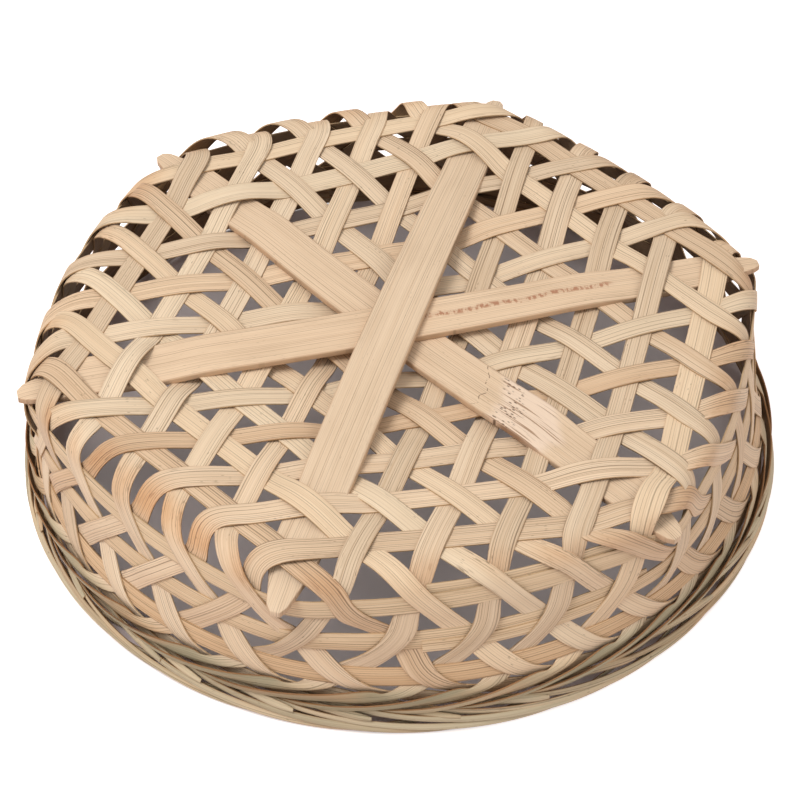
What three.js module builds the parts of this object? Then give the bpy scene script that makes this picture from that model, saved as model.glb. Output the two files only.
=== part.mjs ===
// Round bamboo draining basket, woven in three directions, lying mouth down as it dries.
// Millimetres, Z up. The mouth rests on Z = 0 and the woven base is on top.
import * as THREE from "three";

// Whole basket
const baseAboveHoop = 4;       // middle of the weave at the centre of the base, above the top hoop
const shoulderRise = 8;        // how much higher the weave is at the edge of the base
const baseRings = 5;           // rings of crossings in the base
const crossingSpacing = 29.8;  // from crossing to crossing along one strip

// Strips split from the cane
const stripWidth = 10.6;
const stripThickness = 0.9;
const weaveGap = 0.3;          // clearance between two layers of the weave
const wallStripWidth = 8.6;
const swapWidth = 6.4;         // where the two ends change sides just above the border
const tipWidth = 2.4;

// Flat slats that stiffen the base
const slatWidth = 23;
const slatThickness = 3;
const slatEndThickness = 2.2;
const slatHalfLength = 167;
const slatBendStart = 141;     // where a slat starts to bend down to its tip
const slatNeck = 155;
const slatNeckWidth = 13;
const slatTipWidth = 8;
const slatTipDrop = 6.4;

// Wall: three hoops, then the border at the mouth
const hoopWidth = 8.4;
const shoulderOverhang = 22;   // how far the top hoop stands out from the edge of the base
const wallFlare = 17.16;       // how much farther out the mouth is than the top hoop
const mouthHoopRise = 9.1;     // from the border's top up to the first hoop, then from hoop to hoop
const middleHoopRise = 16.5;
const shoulderHoopRise = 16;

// Plaited border
const borderTopHeight = 18.4;
const bandGap = 0.5;           // clearance between two bands, one below the other

// Counts, angles and shares
const hexSides = 6;
const crossingsPerSide = 5;
const wallCrossings = hexSides * crossingsPerSide;
const sideTurn = Math.PI / 3;
const firstSideAngle = -Math.PI / 2;
const dishShares = [1.75, -0.75];
// For each hoop and the border's top: how far the wall has come out to the mouth
// at the middle of a side and at a corner, and how round it has become
const sideShares = [0, 0.29, 0.64, 0.87];
const cornerShares = [0.55, 0.61, 0.72, 0.87];
const roundShares = [0.35, 0.65, 0.9, 1];
const swapSpread = 0.46;
const outerBandShares = [0, 0.5, 1, 1.45, 1.9];
const innerBandShares = [0, 0.65, 1.3, 1.95, 2.6, 3.25, 3.65];
const bandRunShare = 3.23;      // crossings that a band passes on its way down to the foot
const cornerFoldShares = [0.75, 0.75];
const foldShares = [0.65, 0.6]; // how roundly a strip leaves the base and joins the wall
const tipBendShare = 0.68;
const foldSteps = 4;
const swapShares = [0.12, 0.6, 0.95];

const layerPitch = stripThickness + weaveGap;
const rowPitch = crossingSpacing * Math.sin(sideTurn);
const slatPitch = slatThickness + weaveGap;
const hexCrossShare = 1 / Math.sin(sideTurn) + 1 / Math.tan(sideTurn);
const up = new THREE.Vector3(0, 0, 1);

const vec = (x, y, z) => new THREE.Vector3(x, y, z);
const along = (point, direction, distance) => point.clone().addScaledVector(direction, distance);
const mix = (a, b, share) => a + (b - a) * share;

// A solid strap through its stations: each has a middle point, half its width
// and half its thickness as vectors. A hoop closes on itself.
function strap(stations, closed = false) {
  const positions = [];
  const index = [];
  for (const { point, half, thick } of stations) {
    for (const [a, b] of [[-1, -1], [1, -1], [1, 1], [-1, 1]]) {
      const corner = point.clone().addScaledVector(half, a).addScaledVector(thick, b);
      positions.push(corner.x, corner.y, corner.z);
    }
  }
  const count = stations.length;
  for (let s = 0; s < (closed ? count : count - 1); s++) {
    const here = 4 * s;
    const next = 4 * ((s + 1) % count);
    for (let c = 0; c < 4; c++) {
      const d = (c + 1) % 4;
      index.push(here + c, here + d, next + d, here + c, next + d, next + c);
    }
  }
  if (!closed) {
    const end = 4 * (count - 1);
    for (let c = 1; c < 3; c++) index.push(0, c + 1, c, end, end + c, end + c + 1);
  }
  const geometry = new THREE.BufferGeometry();
  geometry.setAttribute("position", new THREE.Float32BufferAttribute(positions, 3));
  geometry.setIndex(index);
  const flat = geometry.toNonIndexed();
  flat.computeVertexNormals();
  return flat;
}

// Heights, from the border up
// How far a border band comes down from one crossing to the next, and the width
// to which a strip's end is shaved so that the bands lie one below the other
const bandDrop = (borderTopHeight + bandGap / 2) / (bandRunShare + 1 / 2);
const bandWidth = bandDrop - bandGap;
const mouthHoopHeight = borderTopHeight + mouthHoopRise;
const middleHoopHeight = mouthHoopHeight + middleHoopRise;
const shoulderHoopHeight = middleHoopHeight + shoulderHoopRise;
const baseHeight = shoulderHoopHeight + baseAboveHoop;

// The base: crossings on a triangular lattice, dished a little towards the centre
function dishHeight(distance) {
  const t = distance / (baseRings * rowPitch);
  return baseHeight + shoulderRise * (dishShares[0] * t ** 2 + dishShares[1] * t ** 4);
}

function dishSlope(distance) {
  const reach = baseRings * rowPitch;
  const t = distance / reach;
  return (shoulderRise / reach) * (2 * dishShares[0] * t + 4 * dishShares[1] * t ** 3);
}

// Where the slats lie on the weave, and where it climbs over their ends
const slatRest = (stripThickness + layerPitch) / 2 + 2 * weaveGap;
const slatCrossing = slatWidth / 2 / Math.tan(sideTurn) + stripWidth / 2 / Math.sin(sideTurn);
const slatLay = (distance) => dishHeight(distance) + slatRest;
const slatOverEnd = (baseRings - 2) * crossingSpacing + slatCrossing;
const slatEndTop = slatLay(slatOverEnd) + slatThickness;
const slatEndWeaveHeight = slatEndTop + weaveGap + (stripThickness + layerPitch) / 2;

const ringOf = (i, j) => Math.max(Math.abs(i), Math.abs(j), Math.abs(i + j));

// The sides of a ring in turn, each with its outward angle and the lattice index it holds
function sidesAt(i, j) {
  const r = ringOf(i, j);
  const held = [j === -r, i === r, i + j === r, j === r, i === -r, i + j === -r];
  return held.flatMap((on, side) => (on ? [side] : []));
}

const sideNormal = (side) => {
  const angle = firstSideAngle + side * sideTurn;
  return vec(Math.cos(angle), Math.sin(angle), 0);
};
const sideAlong = (side) => {
  const normal = sideNormal(side);
  return vec(-normal.y, normal.x, 0);
};

const families = {
  level: { direction: vec(1, 0, 0), step: [1, 0], index: (i, j) => j },
  rising: { direction: vec(Math.cos(sideTurn), Math.sin(sideTurn), 0), step: [0, 1], index: (i) => i },
  falling: { direction: vec(Math.cos(2 * sideTurn), Math.sin(2 * sideTurn), 0), step: [-1, 1], index: (i, j) => i + j },
};

// Which way a strip drifts round the ring as it leaves over a side: -1, 0 or +1
function drift(direction, side) {
  const outward = Math.sign(Math.round(2 * direction.dot(sideNormal(side))));
  return outward * Math.sign(Math.round(2 * direction.dot(sideAlong(side))));
}

// Over and under: on every side the strip along the ring lies between the two
// that cross it, and these two take turns on the outside from ring to ring
function layerAt(direction, i, j) {
  const r = ringOf(i, j);
  const sides = sidesAt(i, j);
  const turns = sides.map((side) => drift(direction, side));
  const rank = (turn) => (turn === 0 ? 0 : (turn < 0) === (r % 2 === 1) ? 1 : -1);
  if (sides.length === 1) return rank(turns[0]);
  const other = turns.map(rank);
  return (other[0] + other[1] > 0 ? 1 : -1) / 2;
}

function baseCrossing(i, j) {
  const point = vec(i * crossingSpacing + j * crossingSpacing * Math.cos(sideTurn), j * rowPitch, 0);
  const distance = point.length();
  const overSlat = sidesAt(i, j).length === 2;
  const lifted = overSlat && ringOf(i, j) > baseRings - 2;
  point.z = lifted ? slatEndWeaveHeight : dishHeight(distance);
  const slope = lifted ? 0 : dishSlope(distance);
  const normal = vec(-slope * point.x, -slope * point.y, distance).normalize();
  return { point, normal, overSlat };
}

// The wall: three hoops and the border, changing from the base's hexagon to a round mouth
const shoulderRadius = baseRings * rowPitch + shoulderOverhang;
const mouthRadius = shoulderRadius + wallFlare;
const wallRings = [shoulderHoopHeight, middleHoopHeight, mouthHoopHeight, borderTopHeight].map((height, n) => ({
  height,
  side: mix(shoulderRadius, mouthRadius, sideShares[n]),
  corner: mix(shoulderRadius, mouthRadius, cornerShares[n]),
}));
const borderTopRadius = wallRings[wallRings.length - 1].side;

function wallPoint(turn, ring) {
  const wrapped = ((turn % wallCrossings) + wallCrossings) % wallCrossings;
  const side = Math.floor(wrapped / crossingsPerSide);
  const place = (wrapped - side * crossingsPerSide) / crossingsPerSide - 1 / 2;
  const level = Math.min(Math.max(ring - baseRings - 1, 0), wallRings.length - 1);
  const low = Math.min(Math.floor(level), wallRings.length - 2);
  const share = level - low;
  const [a, b] = [wallRings[low], wallRings[low + 1]];
  const round = mix(roundShares[low], roundShares[low + 1], share);
  const swing = mix(Math.atan(place * 2 * Math.tan(sideTurn / 2)), place * sideTurn, round);
  const bulge = (1 / Math.cos(swing) - 1) / (1 / Math.cos(sideTurn / 2) - 1);
  const radius = mix(mix(a.side, b.side, share), mix(a.corner, b.corner, share), bulge);
  const angle = firstSideAngle + side * sideTurn + swing;
  return vec(radius * Math.cos(angle), radius * Math.sin(angle), mix(a.height, b.height, share));
}

// A crossing in the wall with its outward normal, the way along the hoop and
// the way a strip with this drift runs down
function wallCrossing(turn, ring, turnDrift) {
  const nudgeShare = 1 / 8;
  const point = wallPoint(turn, ring);
  const hoopWay = wallPoint(turn + nudgeShare, ring).sub(wallPoint(turn - nudgeShare, ring)).normalize();
  const down = wallPoint(turn, ring + nudgeShare).sub(wallPoint(turn, ring - (ring > baseRings + 1 ? nudgeShare : 0)));
  const normal = down.clone().cross(hoopWay).normalize();
  const steps = ring > baseRings + 1 ? 1 : 0;
  const way = wallPoint(turn + turnDrift * nudgeShare / 2, ring + nudgeShare)
    .sub(wallPoint(turn - turnDrift * nudgeShare / 2 * steps, ring - nudgeShare * steps));
  way.addScaledVector(normal, -way.dot(normal)).normalize();
  return { point, normal, hoopWay, way };
}

function perpendicular(point, way, normal, width, offset) {
  return {
    point: along(point, normal, offset),
    half: normal.clone().cross(way).normalize().multiplyScalar(width / 2),
    thick: normal.clone().multiplyScalar(stripThickness / 2),
  };
}

// A station cut on the skew, parallel to the fold or to the hoop
function skewed(point, way, normal, line, width, offset) {
  const side = normal.clone().cross(way).normalize();
  const run = line.clone().multiplyScalar(Math.sign(line.dot(side)));
  return {
    point: along(point, normal, offset),
    half: run.multiplyScalar(width / 2 / Math.abs(run.dot(side))),
    thick: normal.clone().multiplyScalar(stripThickness / 2),
  };
}

// From the last crossing of the base over the fold, down the wall and into the border
function stripEnd(i, j, direction, outwardSign) {
  const heading = direction.clone().multiplyScalar(outwardSign);
  const side = sidesAt(i, j).find((s) => Math.round(2 * heading.dot(sideNormal(s))) > 0 && drift(direction, s) !== 0);
  const turnDrift = drift(direction, side);
  const { point, normal, overSlat } = baseCrossing(i, j);
  const corner = sideNormal(side).multiplyScalar(baseRings * rowPitch)
    .addScaledVector(sideAlong(side), -baseRings * crossingSpacing / 2);
  const place = point.clone().setZ(0).sub(corner).dot(sideAlong(side)) / crossingSpacing;
  const startTurn = side * crossingsPerSide + place;
  const turnAt = (ring) => startTurn + turnDrift * (ring - baseRings) / 2;
  const layer = (ring) => ((turnDrift > 0) === (ring % 2 === 0) ? 1 : -1) * layerPitch;
  const stations = [];

  const flatOut = (stripWidth / 2 + weaveGap) / Math.cos(sideTurn / 2);
  const way = heading.clone().addScaledVector(normal, -heading.dot(normal)).normalize();
  const startOffset = layerAt(direction, i, j) * layerPitch;
  const leave = along(point, way, flatOut);
  stations.push(skewed(leave, way, normal, sideAlong(side), stripWidth, startOffset));

  const reachHoop = (cross) => (hoopWidth / 2 + weaveGap) / Math.sqrt(1 - cross.way.dot(cross.hoopWay) ** 2);
  const first = wallCrossing(turnAt(baseRings + 1), baseRings + 1, turnDrift);
  // Beside a slat's end the strip drops straight to its hoop, so the tip can pass
  const drop = overSlat ? first.normal.clone().cross(first.hoopWay).normalize() : first.way.clone();
  if (drop.z > 0) drop.negate();
  const land = along(first.point, drop, overSlat ? -(hoopWidth / 2 + weaveGap) : -reachHoop(first));
  const chord = leave.distanceTo(land);
  const shares = overSlat ? cornerFoldShares : foldShares;
  const curve = new THREE.CubicBezierCurve3(leave, along(leave, way, chord * shares[0]),
    along(land, drop, -chord * shares[1]), land);
  for (let step = 1; step < foldSteps; step++) {
    const t = step / foldSteps;
    const line = sideAlong(side).lerp(first.hoopWay, t).normalize();
    const tangent = curve.getTangent(t);
    const outward = tangent.clone().cross(line).normalize();
    if (outward.dot(first.normal) + outward.z < 0) outward.negate();
    const offset = mix(startOffset, layer(baseRings + 1), swapShares[step - 1]);
    stations.push(skewed(curve.getPoint(t), tangent, outward, line, mix(stripWidth, wallStripWidth, t), offset));
  }

  stations.push(skewed(land, drop, first.normal, first.hoopWay, wallStripWidth, layer(baseRings + 1)));
  for (let ring = baseRings + 1; ring <= baseRings + 3; ring++) {
    const cross = wallCrossing(turnAt(ring), ring, turnDrift);
    const reach = reachHoop(cross);
    for (const sign of ring === baseRings + 1 ? [1] : [-1, 1]) {
      stations.push(skewed(along(cross.point, cross.way, sign * reach), cross.way, cross.normal,
        cross.hoopWay, wallStripWidth, layer(ring)));
    }
  }

  // Just above the border the two ends change sides
  const outer = turnDrift < 0;
  const swapHeight = mouthHoopHeight - hoopWidth / 2 - 2 * layerPitch;
  const swapShare = (mouthHoopHeight - swapHeight) / (mouthHoopHeight - borderTopHeight);
  const swap = wallCrossing(turnAt(baseRings + 3) + turnDrift * swapShare * swapSpread, baseRings + 3 + swapShare, turnDrift);
  stations.push(skewed(swap.point, swap.way, swap.normal, swap.hoopWay, swapWidth, outer ? layerPitch : -layerPitch));

  // Border bands: the outer ones drift one way, the inner ones the other and
  // come out at the foot, where their edges make the flat rest of the mouth
  const turns = outer ? outerBandShares : innerBandShares;
  const bandStart = turnAt(baseRings + 4) + turnDrift * (1 / 5);
  const footHeight = bandWidth / 2;
  turns.forEach((gone, piece) => {
    const turn = bandStart + turnDrift * gone;
    const fall = Math.max(borderTopHeight - bandDrop * gone, footHeight);
    const last = piece === turns.length - 1;
    const angle = firstSideAngle - sideTurn / 2 + (turn / wallCrossings) * 2 * Math.PI;
    const radius = mix(mouthRadius, borderTopRadius, fall / borderTopHeight);
    const out = vec(Math.cos(angle), Math.sin(angle), 0);
    const middle = vec(radius * out.x, radius * out.y, fall);
    const shift = outer ? layerPitch : piece < turns.length - 2 ? -layerPitch : layerPitch / 2;
    const width = outer && last ? tipWidth : bandWidth;
    stations.push({
      point: along(middle, out, shift),
      half: up.clone().multiplyScalar(width / 2 * (turnDrift > 0 ? 1 : -1)),
      thick: out.clone().multiplyScalar(stripThickness / 2),
    });
  });
  return stations;
}

// One whole strip, from the border over the base and back to the border
function wovenStrip(family, row) {
  const { direction, step, index } = families[family];
  const crossings = [];
  for (let a = -baseRings; a <= baseRings; a++) {
    const [i, j] = family === "level" ? [a, row] : family === "rising" ? [row, a] : [row - a, a];
    if (ringOf(i, j) <= baseRings) crossings.push([i, j]);
  }
  const flatHalf = hexCrossShare * stripWidth / 2;
  const underSlat = slatWidth / 2 / Math.sin(sideTurn) + stripWidth / 2 / Math.tan(sideTurn) + weaveGap;
  const leastRamp = stripWidth / 3;
  const middle = [];
  crossings.forEach(([i, j], n) => {
    const { point, normal, overSlat } = baseCrossing(i, j);
    const way = direction.clone().addScaledVector(normal, -direction.dot(normal)).normalize();
    const offset = layerAt(direction, i, j) * layerPitch;
    for (const sign of [-1, 1]) {
      const neighbour = crossings[n + sign];
      if (!neighbour) continue;
      const want = (slat) => (slat ? underSlat : flatHalf);
      const mine = want(overSlat);
      const theirs = want(baseCrossing(...neighbour).overSlat);
      const room = crossingSpacing - leastRamp;
      const reach = mine + theirs > room ? (mine === theirs ? room / 2 : Math.max(flatHalf, room - theirs < mine && mine > theirs ? room - theirs : mine)) : mine;
      middle.push(perpendicular(along(point, way, sign * reach), way, normal, stripWidth, offset));
    }
  });
  const [first, last] = [crossings[0], crossings[crossings.length - 1]];
  const head = stripEnd(...first, direction, -1).reverse();
  for (const station of head) station.half.negate();
  return strap([...head, ...middle, ...stripEnd(...last, direction, 1)]);
}

function hoop(ring) {
  const stations = [];
  const firstTurn = (ring - baseRings) % 2 === 1 ? 1 / 2 : 0;
  for (let n = 0; n < wallCrossings; n++) {
    const { point, normal, hoopWay } = wallCrossing(firstTurn + n, ring, 1);
    const reach = (hoopWidth + wallStripWidth * Math.SQRT2) / 2;
    const across = normal.clone().cross(hoopWay).normalize().multiplyScalar(hoopWidth / 2);
    for (const sign of [-1, 1]) {
      stations.push({
        point: along(point, hoopWay, sign * reach),
        half: across.clone(),
        thick: normal.clone().multiplyScalar(stripThickness / 2),
      });
    }
  }
  return strap(stations, true);
}

// The slats cross at the centre one on another, then all run to the same height
// under the outermost strips, where their thinned tips come out at the corners
function slat(place, heading) {
  const centre = slatLay(crossingSpacing + slatCrossing) + place * slatPitch;
  const flatEnd = hexCrossShare * slatWidth / 2;
  const third = slatLay(3 * crossingSpacing);
  const second = Math.max(slatLay(2 * crossingSpacing), mix(centre, third, 1 / 2));
  const endBottom = slatEndTop - slatThickness;
  const profile = [
    [flatEnd, centre, slatThickness, slatWidth],
    [2 * crossingSpacing, second, slatThickness, slatWidth],
    [3 * crossingSpacing, third, slatThickness, slatWidth],
    [slatOverEnd, endBottom, slatThickness, slatWidth],
    [slatBendStart, endBottom, slatThickness, slatWidth],
    [slatNeck, slatEndTop - slatTipDrop * tipBendShare - slatEndThickness, slatEndThickness, slatNeckWidth],
    [slatHalfLength, slatEndTop - slatTipDrop - slatEndThickness, slatEndThickness, slatTipWidth],
  ];
  const side = up.clone().cross(heading);
  const station = ([distance, bottom, thickness, width], sign) => ({
    point: along(heading.clone().multiplyScalar(sign * distance), up, bottom + thickness / 2),
    half: side.clone().multiplyScalar(width / 2),
    thick: up.clone().multiplyScalar(thickness / 2),
  });
  const far = profile.toReversed().map((row) => station(row, -1));
  return strap([...far, ...profile.map((row) => station(row, 1))]);
}

const cane = new THREE.MeshStandardMaterial({ color: 0xe0c69b, roughness: 0.62, metalness: 0 });
const slatCane = new THREE.MeshStandardMaterial({ color: 0xdcbe92, roughness: 0.55, metalness: 0 });
const hoopCane = new THREE.MeshStandardMaterial({ color: 0xd6b388, roughness: 0.6, metalness: 0 });

const basket = new THREE.Group();
basket.name = "bamboo_basket";

function add(name, geometry, material) {
  const mesh = new THREE.Mesh(geometry, material.clone());
  mesh.name = name;
  basket.add(mesh);
}

for (const family of Object.keys(families)) {
  let number = 0;
  for (let row = -baseRings; row <= baseRings; row++) {
    if (row !== 0) add(`${family}_strip_${++number}`, wovenStrip(family, row), cane);
  }
}
add("lower_slat", slat(0, families.falling.direction), slatCane);
add("middle_slat", slat(1, families.level.direction), slatCane);
add("upper_slat", slat(2, families.rising.direction), slatCane);
add("shoulder_hoop", hoop(baseRings + 1), hoopCane);
add("middle_hoop", hoop(baseRings + 2), hoopCane);
add("mouth_hoop", hoop(baseRings + 3), hoopCane);

export default basket;
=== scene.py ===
import math
import random

import bpy
import numpy as np
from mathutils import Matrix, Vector


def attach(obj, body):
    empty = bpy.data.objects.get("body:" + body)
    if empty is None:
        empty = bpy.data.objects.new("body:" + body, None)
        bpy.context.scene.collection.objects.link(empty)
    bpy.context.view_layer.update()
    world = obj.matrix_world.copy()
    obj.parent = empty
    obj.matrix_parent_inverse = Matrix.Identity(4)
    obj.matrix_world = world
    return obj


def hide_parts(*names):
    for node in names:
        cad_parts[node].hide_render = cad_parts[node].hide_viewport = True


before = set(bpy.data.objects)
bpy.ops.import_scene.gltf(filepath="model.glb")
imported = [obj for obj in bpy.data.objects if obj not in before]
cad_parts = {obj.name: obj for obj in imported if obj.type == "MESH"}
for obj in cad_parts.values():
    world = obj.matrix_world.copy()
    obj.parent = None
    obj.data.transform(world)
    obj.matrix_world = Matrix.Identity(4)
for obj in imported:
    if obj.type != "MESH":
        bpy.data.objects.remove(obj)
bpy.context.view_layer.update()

mm = 0.001  # the weave is laid out in millimetres
up = Vector((0, 0, 1))
sixth = math.pi / 3
dice = random.Random(7)


# Camera

view = {
    "place": (-0.174894, -0.795122, 0.832703),
    "turn": (45.20109, 0.76631, -13.23223),
    "lens": 114.548,
}


def setCamera():
    lens = bpy.data.cameras.new("photoLens")
    lens.lens = view["lens"]
    eye = bpy.data.objects.new("photoCamera", lens)
    eye.location = view["place"]
    eye.rotation_euler = [math.radians(a) for a in view["turn"]]
    bpy.context.collection.objects.link(eye)
    bpy.context.scene.camera = eye


setCamera()
print("camera set")


# The lay of the weave, as the solids have it

weave = {
    "rings": 5,
    "spacing": 29.8,
    "hollow": 64.0,  # height of the weave at the middle of the base
    "rise": 8.0,
    "dish": (1.75, -0.75),  # shares of the rise, by the square and the fourth power of the way out
    "strip": 10.6,
    "wallStrip": 8.6,
    "thick": 0.7,
    "crown": 0.1,
    "gap": 0.1,
    "leastSlant": 0.55,  # a cut across a strip slants no more than this cosine allows
    "stepRoom": 1 / 3,  # share of its width that a strip keeps to change its layer in
    "seeds": 50,  # the grain of each piece starts at its own place up to here
    "slat": 23.0,
    "slatThick": 3.0,
    "slatLower": 2.0,  # how much lower than in the solids the slats' ends lie
}
wall = {
    "hoop": 8.4,
    "heights": (60.0, 44.0, 27.5, 18.4),
    "shoulderOut": 22.0,
    "flare": 17.16,
    "oval": 0.009,  # the mouth is a little narrower from side to side
    # shoulder, middle and mouth hoop, and top of the border: share of the way from the shoulder's
    # radius to the mouth's at a side and at a corner, and how round it is
    "side": (0, 0.29, 0.64, 0.87),
    "corner": (0.55, 0.61, 0.72, 0.87),
    "round": (0.35, 0.65, 0.9, 1),
    "nudge": 1 / 8,  # step of a turn or ring over which a direction is taken
    # crossings gone round from the front left corner, and how far out the shoulder lies there
    "swell": ((0, 0), (4, 0), (5, 2.5), (6, 2), (8, 2), (10, 6.2), (12.5, 4), (15, 2.5), (17.5, 2.5),
              (20, 2.5), (22.5, 5.5), (25, 4.5), (27.5, 1.5), (30, 0)),
    # and how far on the crossings are, which by hand are not quite evenly spaced
    "sway": ((0, 0.14), (0.75, 0.3), (1.75, 0.34), (2.75, 0.3), (3.75, 0.22), (4.75, 0.18), (5.75, 0.18),
             (6.75, 0.22), (7.75, 0.2), (9, 0.1), (10.5, 0), (19, 0.06), (20.6, 0.42),
             (24.3, 0.45), (25.7, 0), (28.6, 0.02), (30, 0.14)),
}
rings = weave["rings"]
rowPitch = weave["spacing"] * math.sin(sixth)
layerPitch = weave["thick"] + weave["gap"]
around = 6 * rings
baseReach = rings * rowPitch
shoulderRadius = baseReach + wall["shoulderOut"]
mouthRadius = shoulderRadius + wall["flare"]
hexCross = 1 / math.sin(sixth) + 1 / math.tan(sixth)


def mix(a, b, share):
    return a + (b - a) * share


def ringOf(i, j):
    return max(abs(i), abs(j), abs(i + j))


def sidesAt(i, j):
    r = ringOf(i, j)
    held = (j == -r, i == r, i + j == r, j == r, i == -r, i + j == -r)
    return [side for side, on in enumerate(held) if on]


def sideNormal(side):
    angle = -math.pi / 2 + side * sixth
    return Vector((math.cos(angle), math.sin(angle), 0))


def sideAlong(side):
    out = sideNormal(side)
    return Vector((-out.y, out.x, 0))


directions = {family: Vector((math.cos(n * sixth), math.sin(n * sixth), 0))
              for n, family in enumerate(("level", "rising", "falling"))}


def sign(x):
    return (x > 0) - (x < 0)


def drift(direction, side):
    outward = sign(round(2 * direction.dot(sideNormal(side))))
    return outward * sign(round(2 * direction.dot(sideAlong(side))))


def layerAt(direction, i, j):
    r = ringOf(i, j)
    turns = [drift(direction, side) for side in sidesAt(i, j)]
    ranks = [0 if t == 0 else 1 if (t < 0) == (r % 2 == 1) else -1 for t in turns]
    if len(ranks) == 1:
        return ranks[0]
    return (1 if ranks[0] + ranks[1] > 0 else -1) / 2


def dishHeight(distance):
    t = distance / baseReach
    a, b = weave["dish"]
    return weave["hollow"] + weave["rise"] * (a * t ** 2 + b * t ** 4)


def dishSlope(distance):
    t = distance / baseReach
    a, b = weave["dish"]
    return weave["rise"] / baseReach * (2 * a * t + 4 * b * t ** 3)


twoLayers = (weave["thick"] + layerPitch) / 2
slatRest = twoLayers + 3 * weave["gap"]
slatCrossing = weave["slat"] / 2 / math.tan(sixth) + weave["strip"] / 2 / math.sin(sixth)
slatOverEnd = (rings - 2) * weave["spacing"] + slatCrossing
slatEndTop = dishHeight(slatOverEnd) + slatRest + weave["slatThick"] - weave["slatLower"]
slatEndWeave = slatEndTop + weave["gap"] + twoLayers


# The rows fan out a little to one side, as they do in a basket laid by hand

hand = {
    "reach": 150.0,  # x and y are what 1, x, y, xx, xy and yy add there, in millimetres
    "x": (-0.1, -0.4, 3.1, 0.4, -1.2, 4.3),
    "y": (-2.5, 1.5, 2.6, 5.8, 20.7, 6.4),
    "most": 7.0,
    "sideOut": 4.0,  # how far the outermost crossings may move outwards
    "cornerOut": 2.0,
}


def evenCrossing(i, j):
    return Vector(((i + j * math.cos(sixth)) * weave["spacing"], j * rowPitch, 0))


def laidByHand(i, j):
    point = evenCrossing(i, j)
    x, y = point.x / hand["reach"], point.y / hand["reach"]
    terms = (1, x, y, x * x, x * y, y * y)
    moved = Vector([sum(a * b for a, b in zip(hand[axis], terms)) for axis in "xy"] + [0])
    if moved.length > hand["most"]:
        moved *= hand["most"] / moved.length
    if ringOf(i, j) == rings:
        sides = sidesAt(i, j)
        for side in sides:
            out = sideNormal(side)
            past = moved.dot(out) - hand["sideOut" if len(sides) == 1 else "cornerOut"]
            moved -= out * max(0, past)
    return point + moved


def baseCrossing(i, j):
    even = evenCrossing(i, j)
    point = laidByHand(i, j)
    distance = even.length
    overSlat = len(sidesAt(i, j)) == 2
    lifted = overSlat and ringOf(i, j) > rings - 2
    point.z = slatEndWeave if lifted else dishHeight(distance)
    slope = 0 if lifted else dishSlope(distance)
    normal = Vector((-slope * even.x, -slope * even.y, distance)).normalized()
    return point, normal, overSlat


def swell(turn, ring):
    return float(np.interp(turn, *zip(*wall["swell"]))) * max(0, min(1, (rings + 3 - ring) / 2))


def swayed(turn, give=1.0):
    wrapped = turn % around
    return wrapped + give * float(np.interp(wrapped, *zip(*wall["sway"])))


def wallPoint(turn, ring, give=1.0):
    wrapped = swayed(turn, give) % around
    side = int(wrapped // rings)
    place = (wrapped - side * rings) / rings - 0.5
    level = min(max(ring - rings - 1, 0), 3)
    low = min(int(level), 2)
    share = level - low

    def part(name):
        return mix(wall[name][low], wall[name][low + 1], share)

    swing = mix(math.atan(place * 2 * math.tan(sixth / 2)), place * sixth, part("round"))
    bulge = (1 / math.cos(swing) - 1) / (1 / math.cos(sixth / 2) - 1)
    grown = mix(part("side"), part("corner"), bulge)
    radius = mix(shoulderRadius, mouthRadius, grown)
    angle = -math.pi / 2 + side * sixth + swing
    radius *= 1 - wall["oval"] * math.cos(angle) ** 2
    radius += swell(wrapped, ring)
    return Vector((radius * math.cos(angle), radius * math.sin(angle), part("heights")))


def wallCrossing(turn, ring, give=1.0):
    e = wall["nudge"]
    above = e if ring > rings + 1 else 0
    point = wallPoint(turn, ring, give)
    hoopWay = (wallPoint(turn + e, ring, give) - wallPoint(turn - e, ring, give)).normalized()
    down = wallPoint(turn, ring + e, give) - wallPoint(turn, ring - above, give)
    return point, down.cross(hoopWay).normalized(), hoopWay


def station(point, half, normal, **facts):
    plain = {"skin": 0, "bend": 0, "crown": weave["crown"]}
    return {"point": point, "half": half, "normal": normal, **plain, **facts}


def skewed(point, way, normal, line, width, offset, **facts):
    side = normal.cross(way).normalized()
    run = line * sign(line.dot(side))
    half = run * (width / 2 / max(abs(run.dot(side)), weave["leastSlant"]))
    return station(point + normal * offset, half, normal, **facts)


# How a strip leaves the base, comes down the wall and ends in the border.
# Border tables give: crossings gone round, height of the band's middle, how far
# out it lies, its width, how far its lower edge stands out, and how round it is

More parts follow.
